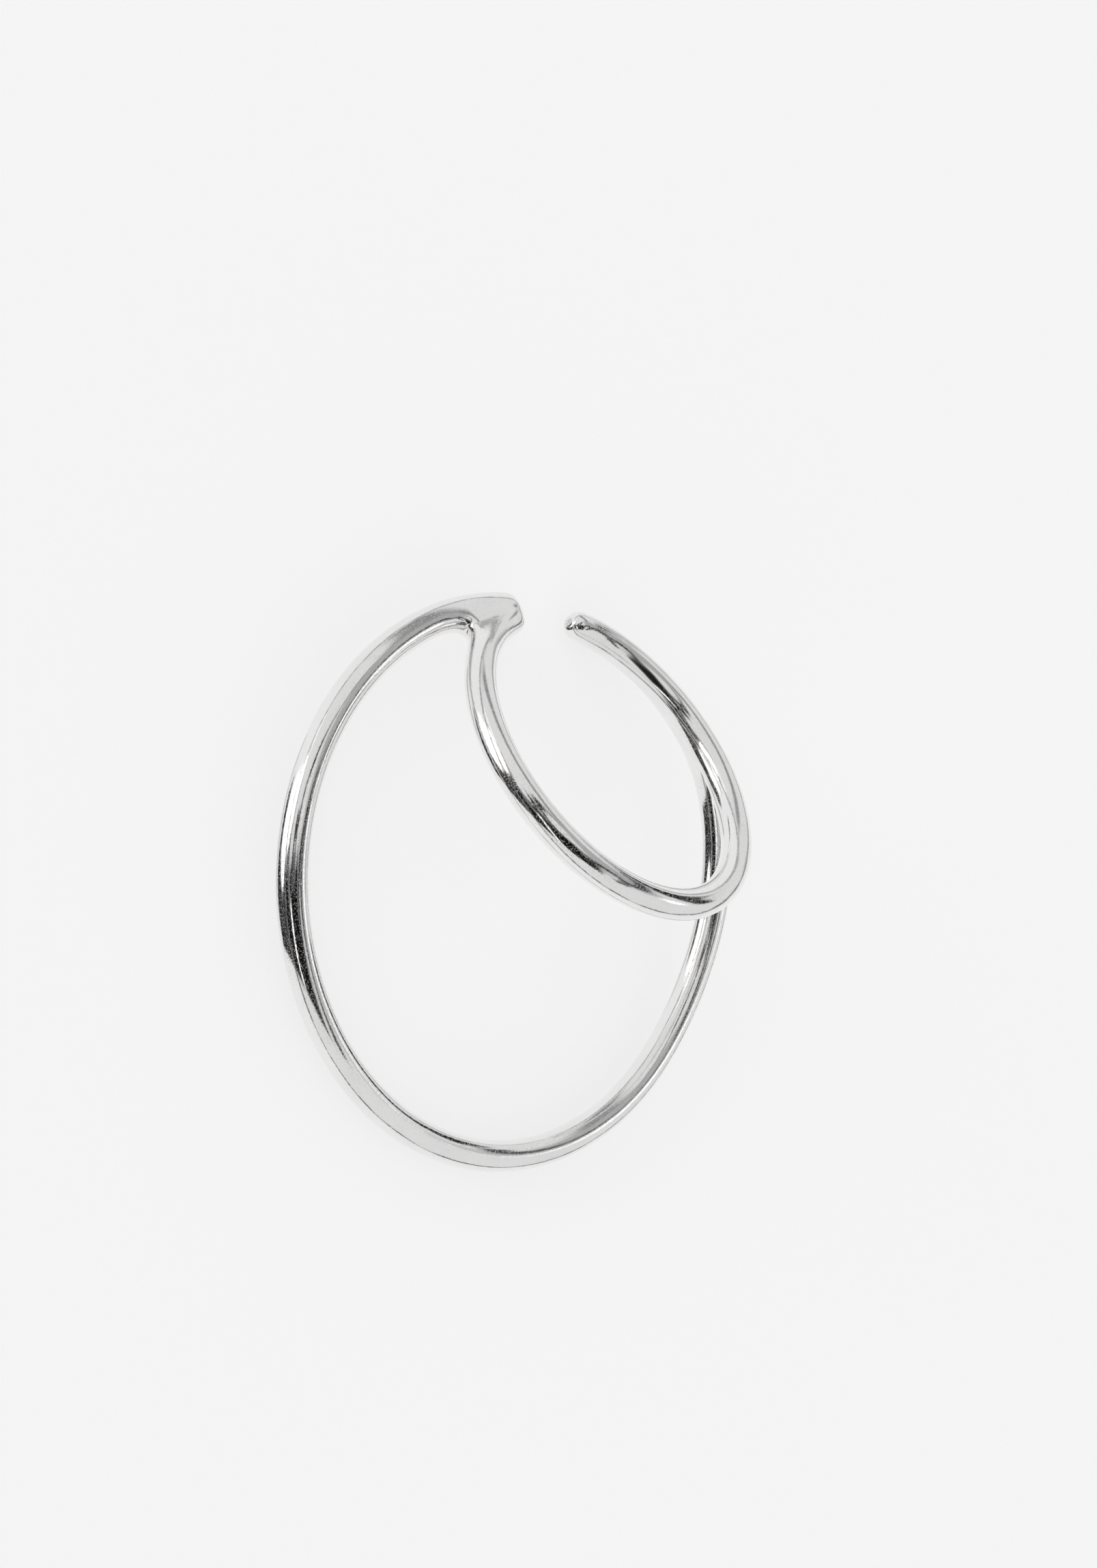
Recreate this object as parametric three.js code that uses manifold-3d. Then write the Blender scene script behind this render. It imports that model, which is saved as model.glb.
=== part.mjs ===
// Double hoop ear cuff in polished silver wire.
//
// Two hoops of one round wire share their front end. The small hoop clips round the rim of the
// ear, and is open where the rim goes in. The large hoop hangs outside it, its plane tilted away
// from the small one's, and runs back into the small hoop near that hoop's back end. Both forks
// are soldered and filled with a thin web, so the cuff is a single solid.
//
// Units are millimetres and +Z is up. The cuff lies on its side as it would by itself, on z = 0,
// with the origin under the middle of its box. X runs from the front end of the wires to the
// back, and Y from the hoops to the ear.
import * as THREE from 'three';
import { ConvexHull } from 'three/addons/math/ConvexHull.js';
import { mergeVertices } from 'three/addons/utils/BufferGeometryUtils.js';
import Module from 'manifold-3d';

// ---- Driving dimensions: the wire and the two hoops ----
const WIRE_D = 1.2;
const CUFF_R = 6.45;            // small hoop, to the middle of the wire
const CUFF_REACH = 5.6;         // from the line where the hoops' planes cross to its centre
const CUFF_GAP = 3.2;           // clear opening for the rim of the ear
const LOOP_R = 10.3;            // large hoop, to the middle of the wire
const LOOP_REACH = 9.8;         // from the line where the planes cross to its centre
const LOOP_SHIFT = -1.35;       // along X, from the small hoop's centre to the large one's
const SPREAD_DEG = 32.5;        // angle between the planes of the two hoops

// Places on a hoop, in degrees from its point farthest from the ear, positive to the front.
const CUFF_FRONT_DEG = 143.3;   // small hoop's front end
const CUFF_JOIN_DEG = -152;     // where the large hoop has run fully into the small one
const LOOP_FRONT_DEG = 165.5;   // large hoop's front end
const LOOP_BEND_DEG = -63;      // where the large hoop leaves its circle to run to the join
const LOOP_BEND_PULL = 1.0;     // how straight that run leaves the circle
const LOOP_JOIN_PULL = 1.4;     // how straight it comes into the join

// ---- The solder web in the fork of each joint ----
const WEB_THICK = 0.7;
const WEB_HOLLOW = 0.35;        // how far the middle of its free edge is drawn in
const FRONT_WEB = 2.9;          // along each wire, from its front end to the web's free edge
const BACK_WEB = 5.4;           // along each wire, from the join to the web's free edge
const BACK_WEB_ROOT = 3.6;      // along each wire, from the join to the web's root

// ---- Facets ----
const WIRE_SIDES = 16;
const STEP_LENGTH = 0.75;       // along the wire
const WEB_EDGE_STEPS = 6;

const radians = THREE.MathUtils.degToRad;
const wireR = WIRE_D / 2;
const wireFlatR = wireR * Math.cos(Math.PI / WIRE_SIDES);   // to the middle of a facet

// A stretch of a hoop, by its angles from the outward direction towards the front.
class HoopArc extends THREE.Curve {
  constructor(centre, outward, radius, fromDeg, toDeg) {
    super();
    Object.assign(this, { centre, outward, radius, fromDeg, toDeg });
    this.forward = new THREE.Vector3(-1, 0, 0);
  }

  getPoint(t, target = new THREE.Vector3()) {
    const angle = radians(THREE.MathUtils.lerp(this.fromDeg, this.toDeg, t));
    return target.copy(this.centre)
      .addScaledVector(this.outward, this.radius * Math.cos(angle))
      .addScaledVector(this.forward, this.radius * Math.sin(angle));
  }

  shareAt(deg) {
    return (this.fromDeg - deg) / (this.fromDeg - this.toDeg);
  }
}

// ---- Centrelines, with the large hoop's plane level ----
const spread = radians(SPREAD_DEG);
const cuffOutward = new THREE.Vector3(0, -Math.cos(spread), Math.sin(spread));
const cuffCentre = cuffOutward.clone().multiplyScalar(CUFF_REACH);
const gapDeg = THREE.MathUtils.radToDeg(2 * Math.asin((CUFF_GAP + WIRE_D) / (2 * CUFF_R)));
const cuffBackDeg = CUFF_FRONT_DEG - 360 + gapDeg;
const cuffLine = new HoopArc(cuffCentre, cuffOutward, CUFF_R, CUFF_FRONT_DEG, cuffBackDeg);
const joinShare = cuffLine.shareAt(CUFF_JOIN_DEG);

const loopCentre = new THREE.Vector3(LOOP_SHIFT, -LOOP_REACH, 0);
const loopOutward = new THREE.Vector3(0, -1, 0);
const loopArc = new HoopArc(loopCentre, loopOutward, LOOP_R, LOOP_FRONT_DEG, LOOP_BEND_DEG);

function runToJoin() {
  const bend = loopArc.getPoint(1);
  const join = cuffLine.getPoint(joinShare);
  const third = bend.distanceTo(join) / 3;
  return new THREE.CubicBezierCurve3(
    bend,
    bend.clone().addScaledVector(loopArc.getTangent(1), LOOP_BEND_PULL * third),
    join.clone().addScaledVector(cuffLine.getTangent(joinShare), -LOOP_JOIN_PULL * third),
    join,
  );
}

const loopLine = new THREE.CurvePath();
loopLine.add(loopArc);
loopLine.add(runToJoin());

// ---- Solids ----
const wasm = await Module();
wasm.setup();

function toSolid(geometry) {
  geometry.deleteAttribute('normal');
  geometry.deleteAttribute('uv');
  const merged = mergeVertices(geometry);
  return new wasm.Manifold(new wasm.Mesh({
    numProp: 3,
    vertProperties: merged.attributes.position.array,
    triVerts: merged.index.array,
  }));
}

function toGeometry(solid) {
  const mesh = solid.getMesh();
  const geometry = new THREE.BufferGeometry();
  geometry.setAttribute('position', new THREE.BufferAttribute(mesh.vertProperties, 3));
  geometry.setIndex(new THREE.BufferAttribute(mesh.triVerts, 1));
  return geometry;
}

function wire(line) {
  return toSolid(new THREE.ExtrudeGeometry(new THREE.Shape().absarc(0, 0, wireR, 0, 2 * Math.PI), {
    curveSegments: WIRE_SIDES / 2,
    steps: Math.round(line.getLength() / STEP_LENGTH),
    extrudePath: line,
  }));
}

function roundEnd(centre, direction) {
  const ball = new THREE.SphereGeometry(wireFlatR, WIRE_SIDES, WIRE_SIDES / 2);
  const pole = new THREE.Vector3(0, 1, 0);
  ball.applyQuaternion(new THREE.Quaternion().setFromUnitVectors(pole, direction));
  return toSolid(ball.translate(centre.x, centre.y, centre.z));
}

// A thin plate in the fork of two wires, from its root to one point on the line of each wire.
function web(root, pointA, pointB) {
  const middle = pointA.clone().lerp(pointB, 0.5);
  const along = middle.clone().sub(root).normalize();
  const normal = new THREE.Vector3().crossVectors(along, pointB.clone().sub(pointA)).normalize();
  const across = new THREE.Vector3().crossVectors(normal, along);
  const inPlate = (point) => {
    const arm = point.clone().sub(root);
    return [arm.dot(along), arm.dot(across)];
  };
  const [middleX, middleY] = inPlate(middle);
  const outline = new THREE.Shape();
  outline.lineTo(...inPlate(pointA));
  outline.quadraticCurveTo(middleX - 2 * WEB_HOLLOW, middleY, ...inPlate(pointB));
  const plate = new THREE.ExtrudeGeometry(outline, {
    depth: WEB_THICK, curveSegments: WEB_EDGE_STEPS, bevelEnabled: false,
  });
  plate.translate(0, 0, -WEB_THICK / 2);
  plate.applyMatrix4(new THREE.Matrix4().makeBasis(along, across, normal).setPosition(root));
  return toSolid(plate);
}

function pointAlong(line, distance) {
  return line.getPointAt(distance / line.getLength());
}

const cuffEnd = cuffLine.getPoint(0);
const loopEnd = loopArc.getPoint(0);
const frontRoot = cuffEnd.clone().lerp(loopEnd, 0.5);
const frontWeb = web(frontRoot, pointAlong(cuffLine, FRONT_WEB), pointAlong(loopLine, FRONT_WEB));

const cuffToJoin = joinShare * cuffLine.getLength();
const loopToJoin = loopLine.getLength();
const backRoot = pointAlong(cuffLine, cuffToJoin - BACK_WEB_ROOT)
  .lerp(pointAlong(loopLine, loopToJoin - BACK_WEB_ROOT), 0.5);
const backWeb = web(
  backRoot,
  pointAlong(cuffLine, cuffToJoin - BACK_WEB),
  pointAlong(loopLine, loopToJoin - BACK_WEB),
);

const cuff = toGeometry([
  roundEnd(cuffEnd, cuffLine.getTangent(0)),
  roundEnd(loopEnd, loopArc.getTangent(0)),
  roundEnd(frontRoot, cuffLine.getTangent(0)),
  roundEnd(cuffLine.getPoint(1), cuffLine.getTangent(1)),
  wire(loopLine),
  frontWeb,
  backWeb,
].reduce((whole, piece) => whole.add(piece), wire(cuffLine)));

// ---- Laid down as it comes to rest ----
function centreOfMass(geometry) {
  const { position } = geometry.attributes;
  const corners = [0, 1, 2].map(() => new THREE.Vector3());
  const sum = new THREE.Vector3();
  let volume = 0;
  for (let i = 0; i < geometry.index.count; i += 3) {
    corners.forEach((corner, k) => corner.fromBufferAttribute(position, geometry.index.getX(i + k)));
    const [a, b, c] = corners;
    const part = a.dot(new THREE.Vector3().crossVectors(b, c)) / 6;
    volume += part;
    sum.addScaledVector(a, part / 4).addScaledVector(b, part / 4).addScaledVector(c, part / 4);
  }
  return sum.divideScalar(volume);
}

function cornersOf(face) {
  return [face.edge.prev, face.edge, face.edge.next].map((edge) => edge.head().point);
}

// The outward normal of the side that the cuff lies on: of the hull's faces that its weight falls
// through, the one with the lowest centre of mass.
function restingNormal(geometry, centre) {
  const hull = new ConvexHull().setFromObject(new THREE.Mesh(geometry));
  const rests = hull.faces.filter((face) => {
    const foot = centre.clone().addScaledVector(face.normal, -face.distanceToPoint(centre));
    return new THREE.Triangle(...cornersOf(face)).containsPoint(foot);
  });
  const height = (face) => -face.distanceToPoint(centre);
  rests.sort((a, b) => height(a) - height(b));
  return rests[0].normal;
}

const down = new THREE.Vector3(0, 0, -1);
const underside = restingNormal(cuff, centreOfMass(cuff));
cuff.applyQuaternion(new THREE.Quaternion().setFromUnitVectors(underside, down));
cuff.computeBoundingBox();
const middle = cuff.boundingBox.getCenter(new THREE.Vector3());

const silver = new THREE.MeshStandardMaterial({ color: 0xe4e3e0, roughness: 0.12, metalness: 1 });
const doubleHoop = new THREE.Mesh(cuff, silver);
doubleHoop.name = 'double_hoop';
doubleHoop.position.set(-middle.x, -middle.y, -cuff.boundingBox.min.z);

const group = new THREE.Group();
group.add(doubleHoop);

export default group;
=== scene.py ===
# %% [markdown]
# # A polished silver ear cuff with two hoops
#
# The real cuff is one piece of silver. A small open hoop clips round the rim of the ear. A larger
# hoop stands outside it, tilted away, and shares its front end. At the back the large hoop runs
# into the small one, and a single wire goes on from there to a plain round end.
#
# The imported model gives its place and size. That model is made of flat facets, which a mirror
# finish would show, so the metal is modelled again here as one smooth skin and stands for it.

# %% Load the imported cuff
import math
from bisect import bisect_right

import bmesh
import bpy
from mathutils import Matrix, Vector, kdtree
from mathutils.geometry import interpolate_bezier


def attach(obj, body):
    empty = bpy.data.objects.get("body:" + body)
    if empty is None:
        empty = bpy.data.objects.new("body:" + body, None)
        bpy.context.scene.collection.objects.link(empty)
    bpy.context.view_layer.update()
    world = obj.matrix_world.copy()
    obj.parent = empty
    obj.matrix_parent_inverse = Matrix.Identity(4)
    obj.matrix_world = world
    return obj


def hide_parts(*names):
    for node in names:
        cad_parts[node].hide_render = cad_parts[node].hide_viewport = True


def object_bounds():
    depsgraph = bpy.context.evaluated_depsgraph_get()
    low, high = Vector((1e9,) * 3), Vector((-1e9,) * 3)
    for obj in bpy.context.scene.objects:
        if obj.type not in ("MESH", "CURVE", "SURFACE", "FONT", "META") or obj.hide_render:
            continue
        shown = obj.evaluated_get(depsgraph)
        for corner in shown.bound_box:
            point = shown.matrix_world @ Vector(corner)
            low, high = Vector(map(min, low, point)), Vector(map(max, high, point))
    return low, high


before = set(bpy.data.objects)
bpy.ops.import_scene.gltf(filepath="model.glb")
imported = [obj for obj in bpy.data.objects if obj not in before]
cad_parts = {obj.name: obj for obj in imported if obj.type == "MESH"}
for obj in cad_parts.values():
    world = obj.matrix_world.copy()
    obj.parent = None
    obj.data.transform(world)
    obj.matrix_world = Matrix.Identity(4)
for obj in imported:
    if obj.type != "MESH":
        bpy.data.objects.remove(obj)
cad_low, cad_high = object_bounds()
print("packed cuff, mm:", [round(1000 * v, 2) for v in cad_high - cad_low])

# %% [markdown]
# ## The middle lines of the two wires
#
# Everything follows from the line through the middle of each wire. A jeweller bends each hoop
# round a mandrel, so it is an arc of a circle; only the last stretch of the large hoop leaves its
# circle and swings across to the small one. Blender merges and picks points by distance, and a
# tenth of a millimetre is coarse on a wire this thin, so the cuff is drawn in millimetres and
# brought down to metres when it is done.

# %% Sizes of the cuff in millimetres
WIRE = 1.2
SPREAD = math.radians(32.5)
FRONT = Vector((-1, 0, 0))

small = {"radius": 6.45, "outward": Vector((0, -math.cos(SPREAD), math.sin(SPREAD)))}
small["centre"] = 5.6 * small["outward"]
large = {"radius": 10.3, "outward": Vector((0, -1, 0)), "centre": Vector((-1.35, -9.8, 0))}

SMALL_FRONT = 143.3
SMALL_JOIN = -152
EAR_GAP = 3.2
LARGE_FRONT = 165.5
LARGE_BEND = -63
SWING_PULL = 1.4
ARC_POINTS = 900
SWING_POINTS = 500


def on_hoop(hoop, degrees):
    """A point on a hoop, so many degrees from its outermost point towards the front."""
    angle = math.radians(degrees)
    arm = math.cos(angle) * hoop["outward"] + math.sin(angle) * FRONT
    return hoop["centre"] + hoop["radius"] * arm


def arc(hoop, start, end):
    return [on_hoop(hoop, start + (end - start) * k / ARC_POINTS) for k in range(ARC_POINTS + 1)]


print("hoop radii, mm:", small["radius"], large["radius"])


# %% A line that can be asked for its place and direction
class Line:
    """Close points along the middle of a wire, measured from its front end."""

    def __init__(self, points):
        self.points = points
        self.run = [0.0]
        for before, after in zip(points, points[1:]):
            self.run.append(self.run[-1] + (after - before).length)
        self.length = self.run[-1]

    def at(self, run):
        after = min(max(bisect_right(self.run, run), 1), len(self.run) - 1)
        before = after - 1
        share = (run - self.run[before]) / (self.run[after] - self.run[before])
        return self.points[before].lerp(self.points[after], share)

    def along(self, run, reach=0.05):
        return (self.at(run + reach) - self.at(run - reach)).normalized()


gap_degrees = math.degrees(2 * math.asin((EAR_GAP + WIRE) / (2 * small["radius"])))
small_back = SMALL_FRONT - 360 + gap_degrees
small_line = Line(arc(small, SMALL_FRONT, small_back))
small_join = (SMALL_FRONT - SMALL_JOIN) / (SMALL_FRONT - small_back) * small_line.length

bend = on_hoop(large, LARGE_BEND)
join = small_line.at(small_join)
third = (bend - join).length / 3
leave = (bend - on_hoop(large, LARGE_BEND + 0.1)).normalized()
arrive = small_line.along(small_join)
swing = interpolate_bezier(
    bend, bend + third * leave, join - SWING_PULL * third * arrive, join, SWING_POINTS)
large_line = Line(arc(large, LARGE_FRONT, LARGE_BEND) + swing[1:])
print("wire lengths, mm:", round(small_line.length, 2), round(large_line.length, 2))

# %% [markdown]
# ## Rings of corners along the wires
#
# A round wire is modelled as a coarse cage: rings of eight corners, set square to the wire like
# ribs and joined by Bridge Edge Loops. Subdivision Surface then rounds the cage. It draws every
# ring in a little, so the rings are made larger by just that share, and set a little outside the
# curve. This beats a swept circle, because the forks can be made in the same skin.

# %% Ring sizes
SIDES = 8
FORK_SIDES = 12


def drawn_in(sides):
    """How much of a ring's size is left after Subdivision Surface."""
    return (2 + math.cos(2 * math.pi / sides)) / 3


RIB = WIRE / 2 / drawn_in(SIDES)
FORK_RIB = WIRE / 2 / drawn_in(FORK_SIDES)
print("ring radii, mm:", round(RIB, 4), round(FORK_RIB, 4))

# %% Start the piece
bpy.ops.object.select_all(action="DESELECT")
bpy.ops.object.add(type="MESH")
cuff = bpy.context.active_object
cuff.name = "polished_cuff"
cuff.data.name = "polished_cuff"
bpy.ops.object.mode_set(mode="EDIT")
bpy.ops.mesh.select_mode(type="VERT")
print("started:", cuff.name)


# %% Helpers that add, pick, move and bridge rings
def corner_count():
    return len(bmesh.from_edit_mesh(cuff.data).verts)


def add_ring(centre, along, towards, sides=SIDES, radius=RIB):
    """A ring square to `along`. Its first corner faces `towards`; gives its corners' numbers."""
    facing = (towards - towards.project(along)).normalized()
    turn = Matrix((facing.cross(along), facing, along)).transposed()
    first = corner_count()
    bpy.ops.mesh.primitive_circle_add(
        vertices=sides, radius=radius, location=centre, rotation=turn.to_euler())
    return list(range(first, first + sides))


def pick(corners):
    bpy.ops.mesh.select_all(action="DESELECT")
    shape = bmesh.from_edit_mesh(cuff.data)
    shape.verts.ensure_lookup_table()
    for number in corners:
        shape.verts[number].select = True
    shape.select_flush(True)
    bmesh.update_edit_mesh(cuff.data)


def move_corner(number, place):
    pick([number])
    here = bmesh.from_edit_mesh(cuff.data).verts[number].co
    bpy.ops.transform.translate(value=place - here)


def bridge(ring, other):
    pick(ring + other)
    bpy.ops.mesh.bridge_edge_loops()


# %% [markdown]
# ## The forks
#
# Where the two wires come together the solder fills the crotch between them. In the cage a ring
# of twelve corners goes round both wires: five on the outside of each, and one in the middle of
# each face, on the solder seam. Towards the fork the seam corners sink between the wires. At the
# fork itself an edge across the ring, with a corner in its middle, splits it into two rings of
# eight, and each goes on as a wire of its own.

# %% A ring round both wires
OUTER_CORNERS = {4: 90, 5: 135, 6: 180, 7: 225, 8: 270}
FAR_CORNERS = {10: -90, 11: -45, 0: 0, 1: 45, 2: 90}
SEAM_TOP = 3
SEAM_BOTTOM = 9
WEB_CREASE = 0.8


def add_shared_ring(run, other_run, seam):
    """A ring of twelve round both wires, with its seam corners `seam` mm from the middle."""
    near, far = small_line.at(run), large_line.at(other_run)
    middle = near.lerp(far, 0.5)
    across = (far - near).normalized()
    along = (small_line.along(run) + large_line.along(other_run)).normalized()
    ring = add_ring(middle, along, across, FORK_SIDES, FORK_RIB)
    sides = (
        (OUTER_CORNERS, near, small_line.along(run)),
        (FAR_CORNERS, far, large_line.along(other_run)),
    )
    for corners, centre, own_along in sides:
        facing = (across - across.project(own_along)).normalized()
        upward = own_along.cross(facing)
        for corner, degrees in corners.items():
            angle = math.radians(degrees)
            arm = math.cos(angle) * facing + math.sin(angle) * upward
            move_corner(ring[corner], centre + RIB * arm)
    upward = along.cross(across).normalized()
    move_corner(ring[SEAM_TOP], middle + seam * upward)
    move_corner(ring[SEAM_BOTTOM], middle - seam * upward)
    return ring


def split_ring(ring):
    """Puts an edge across a shared ring and gives the rings of the small and the large wire."""
    pick([ring[SEAM_TOP], ring[SEAM_BOTTOM]])
    bpy.ops.mesh.edge_face_add()
    bpy.ops.mesh.subdivide(number_cuts=1)
    saddle = corner_count() - 1
    top, bottom = ring[SEAM_TOP], ring[SEAM_BOTTOM]
    for seam in (SEAM_TOP, SEAM_BOTTOM):
        pick(ring[seam - 1:seam + 2])
        bpy.ops.transform.edge_crease(value=WEB_CREASE)
    of_small = [top] + [ring[k] for k in OUTER_CORNERS] + [bottom, saddle]
    of_large = [bottom] + [ring[k] for k in FAR_CORNERS] + [top, saddle]
    return of_small, of_large


# %% Front fork: from the shared front end to the split
# In each pair: millimetres from the front end, and from the middle to each seam corner.
FRONT_SHARED = ((0.0, 0.66), (0.8, 0.60), (1.6, 0.47), (2.35, 0.38))
FRONT_FREE = 3.1

front_rings = [add_shared_ring(run, run, seam) for run, seam in FRONT_SHARED]
for ring, other in zip(front_rings, front_rings[1:]):
    bridge(ring, other)
front_small, front_large = split_ring(front_rings[-1])
print("front fork rings:", len(front_rings))

# %% Back fork: from the split to where the wires have become one
# In each pair: millimetres still to go to the join, and from the middle to each seam corner.
BACK_SHARED = ((4.8, 0.38), (4.0, 0.48), (3.1, 0.58), (2.2, 0.64))
BACK_FREE = 5.6

back_rings = [
    add_shared_ring(small_join - back, large_line.length - back, seam)
    for back, seam in BACK_SHARED
]
for ring, other in zip(back_rings, back_rings[1:]):
    bridge(ring, other)
back_small, back_large = split_ring(back_rings[0])
print("back fork rings:", len(back_rings))

# %% [markdown]
# ## The wires between the forks
#
# Each wire now gets its own rings, a millimetre or so apart. The first faces the other wire at the
# front fork and the last faces it at the back fork. In between the rings turn very slightly from
# one to the next, which a round wire doesn't show.

# %% Lay the rings of one wire
RING_STEP = 1.1


def rib_centre(line, run, step):
    """Where a ring goes so that the rounded wire runs through the line."""
    here = line.at(run)
    around = line.at(run - step) + line.at(run + step) - 2 * here
    return here - around / 6


def turn_about(along, start, end):
    return math.atan2(along.dot(start.cross(end)), start.dot(end))


def squared(vector, along):
    return (vector - vector.project(along)).normalized()


def lay_wire(line, first_run, last_run, first_facing, last_facing):
    count = round((last_run - first_run) / RING_STEP)
    step = (last_run - first_run) / count
    runs = [first_run + step * k for k in range(count + 1)]
    facing = [squared(first_facing, line.along(runs[0]))]
    for run in runs[1:]:
        facing.append(squared(facing[-1], line.along(run)))
    corner = 2 * math.pi / SIDES
    end_along = line.along(runs[-1])
    miss = turn_about(end_along, facing[-1], squared(last_facing, end_along))
    twist = (miss + corner / 2) % corner - corner / 2
    rings = []
    for k, run in enumerate(runs):
        along = line.along(run)
        turned = Matrix.Rotation(twist * k / count, 3, along) @ facing[k]
        rings.append(add_ring(rib_centre(line, run, step), along, turned))
    for ring, other in zip(rings, rings[1:]):
        bridge(ring, other)
    return rings


# %% Both wires
def between(run, other_run):
    return large_line.at(other_run) - small_line.at(run)


front_facing = between(FRONT_FREE, FRONT_FREE)
back_run = small_join - BACK_FREE
back_other = large_line.length - BACK_FREE
back_facing = between(back_run, back_other)
small_rings = lay_wire(small_line, FRONT_FREE, back_run, front_facing, back_facing)
large_rings = lay_wire(large_line, FRONT_FREE, back_other, -front_facing, -back_facing)
bridge(front_small, small_rings[0])
bridge(small_rings[-1], back_small)
bridge(front_large, large_rings[0])
bridge(large_rings[-1], back_large)
print("rings:", len(small_rings), "small hoop,", len(large_rings), "large hoop")

# %% [markdown]
# ## The ends
#
# Past the back fork one wire goes on to the back end. Both ends are rounded over so that they
# don't scratch the ear. Each is drawn in by two smaller rings and closed with Grid Fill.

# %% The single wire at the back
TAIL_STEP = 0.92
TAIL_START = 1.1
tail_count = round((small_line.length - small_join) / TAIL_STEP)
tail_runs = [small_join - TAIL_START]
for k in range(tail_count + 1):
    tail_runs.append(small_join + (small_line.length - small_join) * k / tail_count)
last_shared = BACK_SHARED[-1][0]
facing = between(small_join - last_shared, large_line.length - last_shared)
tail_rings = []
for run in tail_runs:
    along = small_line.along(run)
    facing = squared(facing, along)
    centre = rib_centre(small_line, run, TAIL_STEP)
    tail_rings.append(add_ring(centre, along, facing, FORK_SIDES, FORK_RIB))
bridge(back_rings[-1], tail_rings[0])
for ring, other in zip(tail_rings, tail_rings[1:]):
    bridge(ring, other)
print("tail rings:", len(tail_rings))

# %% Round both ends
# In each pair: millimetres forward, and the share of its size that the next ring keeps.
DOME = ((0.36, 0.86), (0.23, 0.56))


def round_end(ring, centre, outward):
    pick(ring)
    for forward, share in DOME:
        bpy.ops.mesh.extrude_edges_move(TRANSFORM_OT_translate={"value": forward * outward})
        centre = centre + forward * outward
        bpy.ops.transform.resize(value=(share, share, share), center_override=centre)
    bpy.ops.mesh.fill_grid(span=3)


front_end = small_line.at(0).lerp(large_line.at(0), 0.5)
front_outward = -(small_line.along(0) + large_line.along(0)).normalized()
round_end(front_rings[0], front_end, front_outward)
round_end(tail_rings[-1], small_line.at(small_line.length), small_line.along(small_line.length))
print("cage corners:", corner_count())

# %% Close the skin and turn its faces outwards
MERGE_WITHIN = 0.001

bpy.ops.mesh.select_all(action="SELECT")
bpy.ops.mesh.remove_doubles(threshold=MERGE_WITHIN)
bpy.ops.mesh.normals_make_consistent(inside=False)
bpy.ops.mesh.select_all(action="DESELECT")
bpy.ops.mesh.select_non_manifold()
bpy.ops.object.mode_set(mode="OBJECT")
loose = sum(v.select for v in cuff.data.vertices)
print("cage:", len(cuff.data.polygons), "faces,", loose, "open corners")

# %% Round the cage
smooth = cuff.modifiers.new("round", "SUBSURF")
smooth.levels = smooth.render_levels = 3
bpy.ops.object.modifier_apply(modifier=smooth.name)
bpy.ops.object.shade_smooth()
print("skin:", len(cuff.data.polygons), "faces")

# %% [markdown]
# ## The wire pulled straight
#
# Polishing leaves its marks along a wire, round every bend of it. A pattern in plain Object
# coordinates would cut across the bends, so each point of the skin is told where it would be if
# its wire were pulled straight: its length along the wire, and its place in the round section.
# That is kept on the mesh as an attribute, which the finish reads. A second attribute marks the
# solder, where a point lies nearly as close to the one wire as to the other.

# %% A wire's own measure of a place
SOLDER_WIDTH = 0.45
SOLDER_REACH = 1.5 * WIRE


def measured_along(line, axis):
    """A function that tells how far a point is from a wire, and its place on it if straight."""
    near = kdtree.KDTree(len(line.points))
    for number, point in enumerate(line.points):
        near.insert(point, number)
    near.balance()
    directions = [line.along(run) for run in line.run]

    def place(point):
        middle, number, distance = near.find(point)
        along = directions[number]
        sideways = squared(axis, along)
        offset = point - middle
        run = line.run[number] + offset.dot(along)
        return distance, (run, offset.dot(sideways), offset.dot(along.cross(sideways)))

    return place


# %% Keep it on the skin
small_place = measured_along(small_line, small["outward"].cross(FRONT))
large_place = measured_along(large_line, large["outward"].cross(FRONT))
straight = []
solder = []
for corner in cuff.data.vertices:
    small_distance, small_spot = small_place(corner.co)
    large_distance, large_spot = large_place(corner.co)
    straight.extend(small_spot if small_distance < large_distance else large_spot)
    nearness = max(0.0, 1 - abs(small_distance - large_distance) / SOLDER_WIDTH)
    solder.append(nearness if max(small_distance, large_distance) < SOLDER_REACH else 0.0)
cuff.data.attributes.new("straight_wire", "FLOAT_VECTOR", "POINT")
cuff.data.attributes["straight_wire"].data.foreach_set("vector", straight)
cuff.data.attributes.new("solder", "FLOAT", "POINT")
cuff.data.attributes["solder"].data.foreach_set("value", solder)
print("corners in solder:", sum(value > 0 for value in solder), "of", len(solder))

# %% [markdown]
# ## Laid down
#
# On a table the cuff rests on the far side of the large hoop and on its back end, which tips the
# large hoop by about a degree. The skin is turned by that much, brought down to metres and moved
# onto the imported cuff.

# %% Turn, shrink and place
REST_AXIS = Vector((0.99568, -0.09289, 0))
REST_TILT = math.radians(1.2294)
MILLIMETRE = 0.001

cuff.data.transform(Matrix.Scale(MILLIMETRE, 4) @ Matrix.Rotation(REST_TILT, 4, REST_AXIS))
places = [corner.co for corner in cuff.data.vertices]
low = Vector([min(axis) for axis in zip(*places)])
high = Vector([max(axis) for axis in zip(*places)])
centre = (cad_low + cad_high) / 2
cuff.data.transform(Matrix.Translation((
    centre.x - (low.x + high.x) / 2,
    centre.y - (low.y + high.y) / 2,
    cad_low.z - low.z,
)))
print("skin, mm:", [round(1000 * v, 2) for v in high - low])

# %% [markdown]
# ## Polished silver
#
# Hand-polished silver is a mirror with flaws. Long fine lines follow the wire, the cloth leaves
# a grain a few hundredths of a millimetre across, a few specks stand in it, and the wire itself
# waves very slightly where it was bent. None of them could be modelled in the skin; as heights
# for a Bump node they only tilt the mirror a little, which breaks up the edges of the
# reflections as on the real thing. The specks sparkle in the dark streaks.

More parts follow.
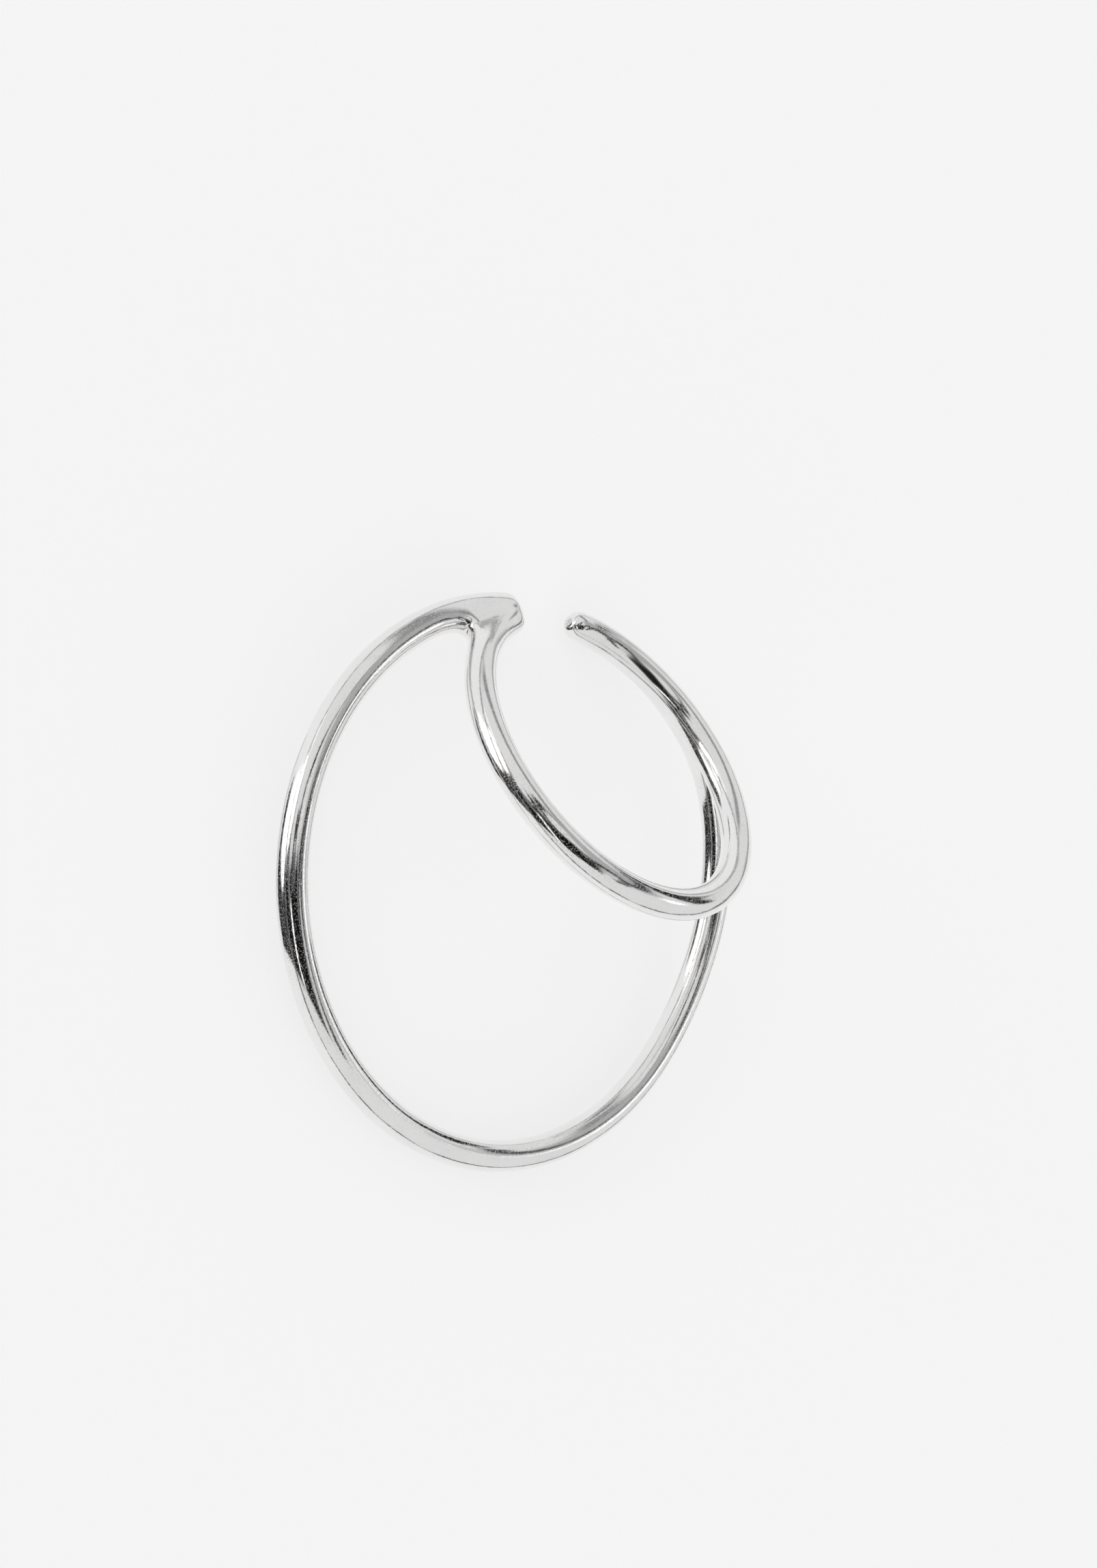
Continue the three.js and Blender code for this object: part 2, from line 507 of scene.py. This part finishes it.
# %% A helper that adds nodes
def node(tree, kind, inputs, **settings):
    """Adds a node. `inputs` holds a number or another node's output for each of its sockets."""
    new = tree.nodes.new(kind)
    for name, value in settings.items():
        setattr(new, name, value)
    for socket, value in inputs.items():
        if isinstance(value, bpy.types.NodeSocket):
            tree.links.new(value, new.inputs[socket])
        else:
            new.inputs[socket].default_value = value
    return new.outputs


# %% Marks on the silver
silver = bpy.data.materials.new("silver")
silver.use_nodes = True
finish = silver.node_tree
shader = finish.nodes["Principled BSDF"]

wire_place = node(finish, "ShaderNodeAttribute", {}, attribute_name="straight_wire")["Vector"]
soldered = node(finish, "ShaderNodeAttribute", {}, attribute_name="solder")["Fac"]


def marks(along, across, detail, roughness):
    """Noise from 0 to 1 with so many marks per millimetre along the wire and across it."""
    stretched = node(finish, "ShaderNodeVectorMath", {
        0: wire_place, 1: (along, across, across)}, operation="MULTIPLY")[0]
    return node(finish, "ShaderNodeTexNoise", {
        "Vector": stretched, "Scale": 1.0, "Detail": detail, "Roughness": roughness})["Fac"]


polish_lines = marks(0.12, 8.0, 3.0, 0.6)
grain = marks(10.0, 15.0, 2.0, 0.6)
specks = node(finish, "ShaderNodeMapRange", {
    "Value": marks(18.0, 34.0, 1.0, 0.5), "From Min": 0.6, "From Max": 0.7},
    interpolation_type="SMOOTHSTEP")[0]
waves = marks(0.45, 0.6, 1.0, 0.5)
clouding = marks(0.5, 1.2, 3.0, 0.6)

# %% Heights in thousandths of a millimetre
POLISH_HEIGHT = 3.0
GRAIN_HEIGHT = 1.5
SPECK_HEIGHT = 2.0
WAVE_HEIGHT = 12.0


def scaled(value, factor):
    return node(finish, "ShaderNodeMath", {0: value, 1: factor}, operation="MULTIPLY")[0]


def added(value, other):
    return node(finish, "ShaderNodeMath", {0: value, 1: other}, operation="ADD")[0]


away_from_solder = node(finish, "ShaderNodeMath", {0: 1.0, 1: soldered}, operation="SUBTRACT")[0]
fine_marks = added(scaled(grain, GRAIN_HEIGHT), scaled(specks, SPECK_HEIGHT))
wire_marks = added(scaled(polish_lines, POLISH_HEIGHT), fine_marks)
heights = node(finish, "ShaderNodeMath", {
    0: added(wire_marks, scaled(waves, WAVE_HEIGHT)), 1: away_from_solder},
    operation="MULTIPLY")[0]
relief = node(finish, "ShaderNodeBump", {
    "Strength": 1.0, "Distance": 0.001 * MILLIMETRE, "Height": heights})["Normal"]
finish.links.new(relief, shader.inputs["Normal"])

# %% Colour and gloss
DEEP_SILVER = (0.82, 0.812, 0.81, 1)
CLEAR_SILVER = (0.95, 0.942, 0.94, 1)
DULLEST = 0.08

silver_tints = node(finish, "ShaderNodeMix", {
    "Factor": clouding, 6: DEEP_SILVER, 7: CLEAR_SILVER}, data_type="RGBA")
finish.links.new(silver_tints[2], shader.inputs["Base Color"])
dull_places = added(scaled(clouding, DULLEST), scaled(soldered, DULLEST))
dullness = added(scaled(polish_lines, DULLEST), dull_places)
finish.links.new(dullness, shader.inputs["Roughness"])
shader.inputs["Metallic"].default_value = 1.0
cuff.data.materials.append(silver)
print("silver nodes:", len(finish.nodes))

# %% Hand it to the frame
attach(cuff, "root")
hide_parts("double_hoop")

# %% [markdown]
# ## Camera
#
# The cuff lies down, but it shows itself best the way it hangs on an ear, with its hoops
# upright. So the camera looks down at it from the front and is rolled on its side. A long lens
# from a hand's breadth away keeps the near and the far limbs of the hoops at nearly the same
# size. The camera could be tracked to an empty, but two angles and a roll say more plainly where
# it stands.

# %% Camera
AIM = Vector((-0.000883, 0.003351, 0.003155))
DISTANCE = 0.12696
AZIMUTH = math.radians(-162.47)
ELEVATION = math.radians(47.19)
ROLL = math.radians(86.21)
LENS = 78.4

back = Vector((
    math.cos(AZIMUTH) * math.cos(ELEVATION),
    math.sin(AZIMUTH) * math.cos(ELEVATION),
    math.sin(ELEVATION),
))
camera_data = bpy.data.cameras.new("camera")
camera_data.lens = LENS
camera_data.sensor_width = 36
camera_data.clip_start = 0.001
camera_data.clip_end = 10
camera = bpy.data.objects.new("camera", camera_data)
bpy.context.scene.collection.objects.link(camera)
level = (-back).to_track_quat("-Z", "Y")
roll = Matrix.Rotation(ROLL, 3, back).to_quaternion()
camera.rotation_mode = "QUATERNION"
camera.rotation_quaternion = roll @ level
camera.location = AIM + DISTANCE * back
bpy.context.scene.camera = camera
bpy.context.scene.view_settings.view_transform = "Standard"
right = camera.rotation_quaternion @ Vector((1, 0, 0))
up = camera.rotation_quaternion @ Vector((0, 1, 0))
print("camera axes:", [[round(v, 4) for v in axis] for axis in (right, up, back)])

# %% [markdown]
# ## Floor
#
# The cuff lies on a sheet of pale matt paper. It glows a little by itself, which stands for the
# light that a white room would throw back onto it from all sides. The polished wires would throw
# bright rings of light onto the paper and make the cuff seem to float, so the paper doesn't
# gather the light they throw, and only their soft shadow is left. Nor do the wires mirror the
# paper, which would wash out their lower edges: what they show there is painted with the room.

# %% Floor
FLOOR_SIZE = 2.0
PAPER = (0.86, 0.86, 0.86, 1)
PAPER_GLOW = 0.45

bpy.ops.object.select_all(action="DESELECT")
bpy.ops.mesh.primitive_plane_add(size=FLOOR_SIZE, location=(0, 0, 0))
floor = bpy.context.active_object
floor.name = "floor"
paper = bpy.data.materials.new("floor_paper")
paper.use_nodes = True
paper_shader = paper.node_tree.nodes["Principled BSDF"]
paper_shader.inputs["Base Color"].default_value = PAPER
paper_shader.inputs["Roughness"].default_value = 0.9
paper_shader.inputs["Specular IOR Level"].default_value = 0.1
paper_shader.inputs["Emission Color"].default_value = (1, 1, 1, 1)
paper_shader.inputs["Emission Strength"].default_value = PAPER_GLOW
floor.data.materials.append(paper)
cuff.visible_diffuse = False
floor.visible_glossy = False
print("floor, m:", tuple(floor.dimensions))

# %% [markdown]
# ## A studio painted by direction
#
# Polished silver shows hardly any colour of its own: what the eye reads as silver is the room.
# A few lamps would leave the wires nearly all white or nearly all black. Here the room is
# painted on the world instead, which lights the cuff softly from everywhere and puts each
# reflection where it belongs. A place in the room is given in degrees to the right of the camera
# and above it. The dot product with that direction tells how far off another one is, and Map
# Range turns the answer into a patch with a soft edge.

# %% Helpers for painting the studio by direction
world = bpy.data.worlds.new("studio")
bpy.context.scene.world = world
world.use_nodes = True
studio = world.node_tree
look = node(studio, "ShaderNodeTexCoord", {})["Generated"]


def towards(rightward, upward):
    """The way to look from the cuff, so many degrees to the right of the camera and above it."""
    angle = math.radians(math.hypot(rightward, upward))
    way = math.atan2(upward, rightward)
    side = math.cos(way) * right + math.sin(way) * up
    return math.cos(angle) * back + math.sin(angle) * side


def share_of(axis):
    return node(studio, "ShaderNodeVectorMath", {0: look, 1: axis}, operation="DOT_PRODUCT")["Value"]


def fade(value, start, end):
    """0 at `start`, 1 at `end`, and a smooth change between them; either may be the larger."""
    return node(studio, "ShaderNodeMapRange", {
        "Value": value, "From Min": start, "From Max": end}, interpolation_type="SMOOTHSTEP")[0]


def disc(rightward, upward, radius, edge):
    """1 inside a round patch of so many degrees, and nothing past its edge."""
    outer = math.cos(math.radians(radius + edge))
    inner = math.cos(math.radians(radius))
    return fade(share_of(towards(rightward, upward)), outer, inner)


def both(value, other):
    return node(studio, "ShaderNodeMath", {0: value, 1: other}, operation="MULTIPLY")[0]


def painted(wall, patch, colour):
    """The wall with a patch of another colour over it."""
    return node(studio, "ShaderNodeMix", {
        "Factor": patch, 6: wall, 7: colour}, data_type="RGBA", clamp_factor=True)[2]


# %% [markdown]
# ## The dark side of the room
#
# Pale walls and a pale table surround the cuff, and only the side where the camera stands is
# dark. In the wires that is the black streak that makes them look like metal. Its edges are
# ragged, as of things that stand about in a room, so a noise moves them in and out.

# %% The strip of dark room
# Each edge is where its cosine starts to count, and where it counts fully.
PAPER_EDGE = (-0.345, -0.315)
WALL_EDGE = (0.17, 0.05)
RIGHT_EDGE = (0.9, 0.55)
BACK_EDGE = (-0.4, -0.2)
RAGGED_BY = 0.15

blur = node(studio, "ShaderNodeTexNoise", {
    "Vector": look, "Scale": 7.0, "Detail": 4.0, "Roughness": 0.6})["Fac"]
ragged = node(studio, "ShaderNodeMath", {
    0: blur, 1: 2 * RAGGED_BY, 2: -RAGGED_BY}, operation="MULTIPLY_ADD")[0]


def raggedly(value):
    return node(studio, "ShaderNodeMath", {0: value, 1: ragged}, operation="ADD")[0]


over_paper = fade(share_of(up + 0.2 * back), *PAPER_EDGE)
under_wall = fade(raggedly(share_of(up)), *WALL_EDGE)
left_of_wall = fade(raggedly(share_of(right)), *RIGHT_EDGE)
facing_camera = fade(share_of(back), *BACK_EDGE)
strip = both(both(over_paper, under_wall), both(left_of_wall, facing_camera))
print("studio nodes:", len(studio.nodes))

# %% [markdown]
# ## Lines and lights
#
# Stands, frames and the gaps between screens draw fine lines along the wires. Each is a bar from
# one direction to another, or a trail of bars. To the left the dark reaches on below the cuff,
# which draws the lower edge of each wire. A few soft lights give the whitest streaks, and a thin
# dark line runs where the walls stand on the floor.

# %% Bands, bars and trails
BAR_END = 6


def band(start, end, half_width, edge):
    """1 along the great circle through two directions, and nothing past the band's edges."""
    across = towards(*start).cross(towards(*end)).normalized()
    distance = node(studio, "ShaderNodeMath", {0: share_of(across)}, operation="ABSOLUTE")[0]
    inner = math.sin(math.radians(half_width))
    outer = math.sin(math.radians(half_width + edge))
    return fade(distance, outer, inner)


def bar(start, end, half_width, edge):
    """A band that stops just past its two ends."""
    middle = ((start[0] + end[0]) / 2, (start[1] + end[1]) / 2)
    reach = math.degrees(towards(*start).angle(towards(*end))) / 2
    return both(band(start, end, half_width, edge), disc(*middle, reach, BAR_END))


def trail(wall, points, half_width, edge, colour):
    """The wall with bars of one colour painted from point to point."""
    for start, end in zip(points, points[1:]):
        wall = painted(wall, bar(start, end, half_width, edge), colour)
    return wall


# %% Table, walls and the dark strip
def grey(value):
    return (value, value, value, 1)


BRIGHT = grey(0.78)
DARK = (0.006, 0.005, 0.005, 1)
PINK = (0.36, 0.22, 0.22, 1)

TABLE = grey(0.9)
TABLE_EDGE = (0.02, -0.05)

height = share_of(Vector((0, 0, 1)))
room = painted(BRIGHT, fade(height, *TABLE_EDGE), TABLE)
corner_shade = both(band((68, 15), (30, 80), 3, 10), disc(48, 45, 38, 12))
room = painted(room, corner_shade, grey(0.28))
room = painted(room, disc(68, 18, 14, 10), grey(0.42))
room = painted(room, disc(36, 17, 7, 4), BRIGHT)
room = painted(room, disc(-34, 27, 18, 4), grey(0.45))
room = trail(room, [(-22, 8), (-18, 34)], 0.8, 1.5, PINK)
room = trail(room, [(29, 30), (50, 35)], 1.5, 2.5, grey(0.3))
room = painted(room, strip, DARK)
room = painted(room, disc(58, -44, 27, 3), BRIGHT)
print("studio nodes:", len(studio.nodes))

# %% Dark things along the edges of the strip
room = painted(room, disc(-27, 9, 6, 3), grey(0.1))
room = painted(room, disc(-17, -1, 5, 3), grey(0.18))
room = trail(room, [(3, 4), (19, 5)], 3, 3, grey(0.1))
room = trail(room, [(0, 3), (5, 16), (17, 14), (21, 24), (30, 29)], 2.5, 2, grey(0.03))
room = trail(room, [(30, -25), (38, -12), (50, 2), (66, 8)], 2, 2, grey(0.02))
room = trail(room, [(50, -22), (60, -13), (67, -1), (78, 8), (86, 46)], 1.8, 2, grey(0.05))
room = trail(room, [(93, 60), (98, 35), (108, 6)], 4.5, 2, DARK)
print("studio nodes:", len(studio.nodes))

# %% Below the cuff, to the left
room = trail(room, [(-84, -14), (-48, -14)], 8, 4, grey(0.04))
room = trail(room, [(-101, -18), (-99, 14), (-88, 38)], 8, 4, grey(0.025))
room = trail(room, [(-125, -5), (-122, 30), (-116, 58)], 3, 3, grey(0.45))
print("studio nodes:", len(studio.nodes))

# %% Lights
room = painted(room, disc(-64, 21, 17, 4), grey(1.3))
room = painted(room, disc(91, -6, 5, 3), grey(1.3))
room = painted(room, disc(-38, 29, 15, 3), grey(1.6))
room = trail(room, [(-20, 34), (-23, 60)], 1.5, 2, grey(1.1))
room = trail(room, [(-6, -26), (-8, -8)], 2, 2, grey(1.5))
print("studio nodes:", len(studio.nodes))

# %% Foot of the walls
FOOT_TOP = (0.12, 0.05)
FOOT_BOTTOM = (-0.04, 0.02)
TOP_EDGE = (0.4, 0.1)

wall_foot = both(fade(raggedly(height), *FOOT_TOP), fade(height, *FOOT_BOTTOM))
below_wall_top = fade(share_of(up), *TOP_EDGE)
room = painted(room, wall_foot, grey(0.35))
room = painted(room, both(wall_foot, below_wall_top), grey(0.11))
studio.links.new(room, studio.nodes["Background"].inputs["Color"])
studio.nodes["Background"].inputs["Strength"].default_value = 1.0
print("studio nodes:", len(studio.nodes))
